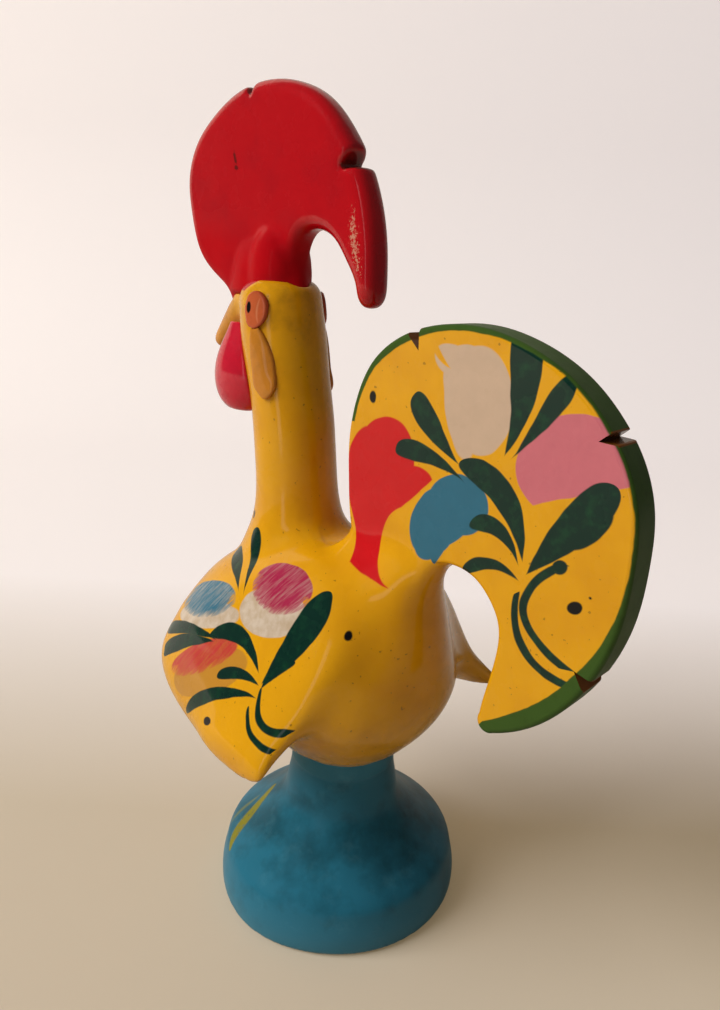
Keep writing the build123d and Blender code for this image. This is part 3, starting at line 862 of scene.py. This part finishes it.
def put(mesh, name, material, slot, *replaced):
    """finished piece from a mesh, in its place on the object"""
    data = bpy.data.meshes.new(name)
    mesh.to_mesh(data)
    mesh.free()
    data.shade_smooth()
    data.materials.append(material)
    piece = bpy.data.objects.new(name, data)
    bpy.context.scene.collection.objects.link(piece)
    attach(piece, BODY)
    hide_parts(*replaced)


def dress(node, material):
    """new material on a CAD node that stays"""
    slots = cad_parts[node].material_slots
    if not slots:
        raise RuntimeError(f"{node} has no material slot")
    for slot in slots:
        slot.material = material


def tail_root(grid):
    """foot of the tail, as a skin just outside it near the body and just inside it farther out"""
    mesh = joined_copy("tail")
    cut_level(mesh, spot(0, 0, TAIL_ROOT_TOP), Vector((0, 0, 1)))
    cut_level(mesh, spot(0, 0, TAIL_ROOT_LOW), Vector((0, 0, -1)))
    cut_level(mesh, spot(0, TAIL_ROOT_BACK, 0), Vector((0, 1, 0)))
    mesh = remeshed(mesh, grid)

    def depth(place):
        far = math.hypot(-place.y - TAIL_ROOT_MIDDLE[0], place.z - TAIL_ROOT_MIDDLE[1])
        return 0.15 - 0.65 * fade(far, 20, 31)

    swell(mesh, MM, depth)
    return mesh


def raise_spot(mesh, middle, radius, height):
    """low swelling about a place on the skin"""
    mesh.normal_update()
    for vert in mesh.verts:
        far = (vert.co - middle).length
        if far < 2 * radius:
            vert.co += vert.normal * swelling(far, height, 0, radius)


def soften_spot(mesh, middle, radius, times):
    """smooth the round about a place on both sides, most in its middle"""
    for step in range(5):
        reach = radius * (1 - step / 6) * MM
        verts = [
            vert
            for vert in mesh.verts
            if (Vector((abs(vert.co.x), vert.co.y, vert.co.z)) - middle).length < reach
        ]
        smooth(mesh, times, verts)


def merge_into(mesh, other):
    """add a second mesh to the first"""
    data = bpy.data.meshes.new("part")
    other.to_mesh(data)
    other.free()
    mesh.from_mesh(data)
    bpy.data.meshes.remove(data)


# Root of the tail in the skin of the body: where it is cut off, and the middle of its round
TAIL_ROOT_TOP = 148
TAIL_ROOT_LOW = 100
TAIL_ROOT_BACK = -50
TAIL_ROOT_MIDDLE = (-18, 112)

# Waist, where the skin of the body fits the mouth of the foot
WAIST_LEVEL = 44
WAIST_RADIUS = 16.2
WAIST_TOP = 56

# Edge of the saddle: a swelling on the left, and places on both sides where the ridge is worn down.
# Each place: aside, ahead and up, its radius, and how many times it is smoothed.
SADDLE_EDGE = (24, -21, 86)
SOFT_PLACES = (
    ((17, -17, 100), 26, 16),
    ((25, -19, 90), 17, 14),
    ((32, -17, 79), 15, 10),
    ((38, -16, 71), 11, 5),
)


def body_crease_share(place):
    """how much of the full round the creases of the body get, from the place in millimetres"""
    waist = fade(place.z, 60, 84)
    head = 1 - 0.45 * fade(place.z, 140, 160)
    return waist * head


def comb_crease_share(place):
    """how much of the full round the creases of the comb get: all at its stalk, none on the hook"""
    ahead = -place.y
    return (1 - fade(place.z, 190, 208)) * fade(ahead, 12, 22) * (1 - fade(ahead, 40, 54))


class ROOSTER_OT_body(bpy.types.Operator):
    """Skin of body, neck, wings and beak, which the maker smoothed into one"""
    bl_idname = "rooster.body"
    bl_label = "Body, neck and wings"

    def execute(self, context):
        clay = context.scene.rooster_clay
        nodes = ("body", "neck_and_head", "left_wing", "right_wing", "beak")
        mesh = joined_copy(*nodes)
        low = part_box("body")[0].z
        add_plug(mesh, 17.6, 15.9, 9, low - 3.5 * MM)
        merge_into(mesh, tail_root(clay.tail_root_grid))
        mesh = remeshed(mesh, clay.skin_grid)
        smooth(mesh, 3)
        mesh = blend_creases(mesh, clay.crease_round, clay.skin_grid * 1.1, body_crease_share)
        self.fit_waist(mesh)
        raise_spot(mesh, spot(*SADDLE_EDGE), 10 * MM, 2.4 * MM)
        for place, radius, times in SOFT_PLACES:
            soften_spot(mesh, spot(*place), radius, times)
        smooth(mesh, 4)
        cut_level(mesh, (0, 0, low), (0, 0, -1))
        put(mesh, "painted_body", body_material(), "body_yellow", *nodes)
        return {"FINISHED"}

    def fit_waist(self, mesh):
        """no wider than the mouth of the foot, flaring above it"""
        for vert in mesh.verts:
            level = vert.co.z / MM
            outward = Vector((vert.co.x, vert.co.y, 0))
            flare = 0.1 * (level - WAIST_LEVEL) + 6 * fade(level, 49, WAIST_TOP)
            widest = (WAIST_RADIUS + flare) * MM
            if level < WAIST_TOP and outward.length > widest:
                vert.co -= outward * (1 - widest / outward.length)


class ROOSTER_OT_comb(bpy.types.Operator):
    """Comb, with a stalk that swells where it enters the crown"""
    bl_idname = "rooster.comb"
    bl_label = "Comb"

    stalk_place = (0, 34.6, 187.5)
    stalk_halves = (9.2, 9.2, 15.0)
    stalk_foot = 184.5

    def execute(self, context):
        clay = context.scene.rooster_clay
        stalk = bmesh.new()
        bmesh.ops.create_uvsphere(stalk, u_segments=48, v_segments=24, radius=MM)
        bmesh.ops.scale(stalk, vec=self.stalk_halves, verts=stalk.verts)
        bmesh.ops.translate(stalk, vec=spot(*self.stalk_place), verts=stalk.verts)
        cut_level(stalk, spot(0, 0, self.stalk_foot), Vector((0, 0, -1)))
        mesh = joined_copy("comb")
        merge_into(mesh, stalk)
        mesh = remeshed(mesh, clay.comb_grid)
        smooth(mesh, 3)
        mesh = blend_creases(mesh, clay.root_round, clay.comb_grid, comb_crease_share)
        smooth(mesh, 2)
        put(mesh, "painted_comb", comb_material(), "comb_red", "comb")
        return {"FINISHED"}


class ROOSTER_OT_tail(bpy.types.Operator):
    """Enamel on the tail: petals, leaves and the green rim"""
    bl_idname = "rooster.tail"
    bl_label = "Tail"

    def execute(self, context):
        dress("tail", tail_material())
        return {"FINISHED"}


class ROOSTER_OT_foot(bpy.types.Operator):
    """Bell-shaped foot, with the slack shoulder of a form turned by hand"""
    bl_idname = "rooster.foot"
    bl_label = "Foot"

    # How far the skin goes out, the middle, and the spread: by level in millimetres, by turn in degrees
    shoulder = (2.0, 15.5, 4.0)
    neck = (-1.9, 29.5, 5.5)
    lobe = (1.4, 92, 28)

    def execute(self, context):
        clay = context.scene.rooster_clay
        mesh = joined_copy("base")
        add_plug(mesh, 16.15, 16.15, 7, 43.5 * MM)
        mesh = remeshed(mesh, clay.skin_grid)
        smooth(mesh, 2)
        for vert in mesh.verts:
            outward = Vector((vert.co.x, vert.co.y, 0))
            on_rim = vert.co.z < 2 * MM and outward.length > 33 * MM
            if vert.normal.dot(outward) > 0.0 or on_rim:
                level = vert.co.z / MM
                turn = math.degrees(math.atan2(vert.co.x, -vert.co.y))
                out = swelling(level, *self.shoulder) + swelling(level, *self.neck)
                out += swelling(turn, *self.lobe) * (1 - fade(level, 8, 20))
                vert.co += outward.normalized() * out * MM
        smooth(mesh, 2)
        put(mesh, "painted_foot", foot_material(), "base_blue", "base")
        return {"FINISHED"}


class ROOSTER_OT_face(bpy.types.Operator):
    """Eyes, ear lobes and wattles, softened where they were pressed on"""
    bl_idname = "rooster.face"
    bl_label = "Eyes, ear lobes and wattles"

    lobe_ahead = 27.6
    lobe_lean = 4.2

    def execute(self, context):
        clay = context.scene.rooster_clay
        paint = context.scene.rooster_paint
        pieces = (
            ("eye", pellet_material("eye_enamel", paint.orange, eye_marks), "eye_orange", 6),
            ("ear_lobe", pellet_material("ear_lobe_enamel", paint.ochre), "ear_lobe_ochre", 14),
            ("wattle", pellet_material("wattle_enamel", paint.pink_red, coat=0.9), "wattle_red", 8),
        )
        for name, material, slot, times in pieces:
            for side in ("left", "right"):
                node = f"{side}_{name}"
                mesh = remeshed(joined_copy(node), clay.pellet_grid)
                smooth(mesh, times)
                if name == "ear_lobe":
                    self.narrow(mesh)
                put(mesh, f"{side}_painted_{name}", material, slot, node)
        return {"FINISHED"}

    def narrow(self, mesh):
        """drop that hangs from a narrow top to a round end"""
        low = min(vert.co.z for vert in mesh.verts)
        high = max(vert.co.z for vert in mesh.verts)
        for vert in mesh.verts:
            share = (vert.co.z - low) / (high - low)
            middle = (-self.lobe_ahead - (share - 0.5) * self.lobe_lean) * MM
            wide = 0.78 + 0.5 * (1 - fade(share, 0.0, 0.42))
            vert.co.y = middle + (vert.co.y - middle) * wide


# Camera of the photo: its place in millimetres, and its turns in degrees
VIEW_TURN = 134.0
CAMERA_PLACE = (148.34, 145.45, 192.91)
CAMERA_TURNS = ((VIEW_TURN, "Z"), (72.15, "X"), (2.8, "Z"))

# Glow of the floor: where it begins to change behind the object, over what run in millimetres,
# and the share that reflections see of it
GLOW_FROM = 20
GLOW_RUN = 200
GLOW_REFLECTED = 0.35

# Floor and backdrop, in metres: half the width, where it begins to rise, and the round of the rise
FLOOR_HALF = 2.5
BACKDROP_FAR = 0.55
BACKDROP_ROUND = 0.35

# Lights: azimuth and height above the floor in degrees; distance, width and tallness in metres
DAY_LIGHT = (60, 37, 2.6, 1.6, 1.5)
GAP_LIGHT = (99, 14, 1.1, 0.18, 0.8)
GAP_SHARE = 0.009
AIM = Vector((0, 0, 0.12))


class ROOSTER_OT_stage(bpy.types.Operator):
    """Floor, camera and lights"""
    bl_idname = "rooster.stage"
    bl_label = "Stage"

    def execute(self, context):
        scene = context.scene
        stage = scene.rooster_stage
        self.camera(scene, stage.lens)
        data = bpy.data.meshes.new("floor")
        mesh = self.sweep()
        mesh.to_mesh(data)
        mesh.free()
        data.shade_smooth()
        data.materials.append(floor_material(stage))
        floor = bpy.data.objects.new("floor", data)
        scene.collection.objects.link(floor)
        world = bpy.data.worlds.new("sky")
        world.use_nodes = True
        background = world.node_tree.nodes["Background"]
        background.inputs["Color"].default_value = (1, 1, 1, 1)
        background.inputs["Strength"].default_value = stage.sky
        scene.world = world
        day = self.light(scene, "day", *DAY_LIGHT, stage.window)
        day.visible_glossy = False
        self.light(scene, "gap", *GAP_LIGHT, stage.window * GAP_SHARE)
        scene.view_settings.view_transform = "Standard"
        return {"FINISHED"}

    def camera(self, scene, lens):
        data = bpy.data.cameras.new("camera")
        data.lens = lens
        data.sensor_width = 36
        camera = bpy.data.objects.new("camera", data)
        turned = Matrix.Translation(Vector(CAMERA_PLACE) * MM)
        for angle, axis in CAMERA_TURNS:
            turned = turned @ Matrix.Rotation(math.radians(angle), 4, axis)
        camera.matrix_world = turned
        scene.collection.objects.link(camera)
        scene.camera = camera

    def sweep(self):
        """floor that rises in a round into a backdrop, square to the view"""
        mesh = bmesh.new()
        bmesh.ops.create_grid(mesh, x_segments=2, y_segments=300, size=FLOOR_HALF)
        for vert in mesh.verts:
            behind = vert.co.y - BACKDROP_FAR
            angle = min(max(behind / BACKDROP_ROUND, 0), math.pi / 2)
            if behind > 0:
                rest = max(behind - BACKDROP_ROUND * math.pi / 2, 0)
                vert.co.y = BACKDROP_FAR + BACKDROP_ROUND * math.sin(angle)
                vert.co.z = BACKDROP_ROUND * (1 - math.cos(angle)) + rest
        turn = Matrix.Rotation(math.radians(VIEW_TURN), 3, "Z")
        bmesh.ops.rotate(mesh, verts=mesh.verts, cent=(0, 0, 0), matrix=turn)
        return mesh

    def light(self, scene, name, azimuth, height, far, wide, tall, power):
        """soft light that faces the object; the azimuth turns from ahead towards the left"""
        data = bpy.data.lights.new(name, "AREA")
        data.shape = "RECTANGLE"
        data.size = wide
        data.size_y = tall
        data.energy = power
        turn, lift = math.radians(azimuth), math.radians(height)
        way = Vector((math.sin(turn) * math.cos(lift), -math.cos(turn) * math.cos(lift), math.sin(lift)))
        lamp = bpy.data.objects.new(name, data)
        lamp.location = way * far + AIM
        lamp.rotation_euler = (-way).to_track_quat("-Z", "Y").to_euler()
        scene.collection.objects.link(lamp)
        return lamp


class ROOSTER_PT_panel(bpy.types.Panel):
    """Sizes, colours and steps of the rooster"""
    bl_label = "Painted clay rooster"
    bl_idname = "ROOSTER_PT_panel"
    bl_space_type = "VIEW_3D"
    bl_region_type = "UI"
    bl_category = "Rooster"

    def draw(self, context):
        for name, kind in GROUPS.items():
            box = self.layout.box()
            for setting in kind.__annotations__:
                box.prop(getattr(context.scene, name), setting)
        for step in STEPS:
            self.layout.operator(step.bl_idname)


STEPS = (
    ROOSTER_OT_stage,
    ROOSTER_OT_body,
    ROOSTER_OT_comb,
    ROOSTER_OT_tail,
    ROOSTER_OT_foot,
    ROOSTER_OT_face,
)
GROUPS = {"rooster_clay": RoosterClay, "rooster_paint": RoosterPaint, "rooster_stage": RoosterStage}
CLASSES = (*GROUPS.values(), *STEPS, ROOSTER_PT_panel)


def register():
    for item in CLASSES:
        bpy.utils.register_class(item)
    for name, group in GROUPS.items():
        setattr(bpy.types.Scene, name, PointerProperty(type=group))


def unregister():
    for name in GROUPS:
        delattr(bpy.types.Scene, name)
    for item in reversed(CLASSES):
        bpy.utils.unregister_class(item)


def main():
    register()
    bpy.ops.rooster.stage()
    bpy.ops.rooster.body()
    bpy.ops.rooster.comb()
    bpy.ops.rooster.tail()
    bpy.ops.rooster.foot()
    bpy.ops.rooster.face()


if __name__ == "__main__":
    main()
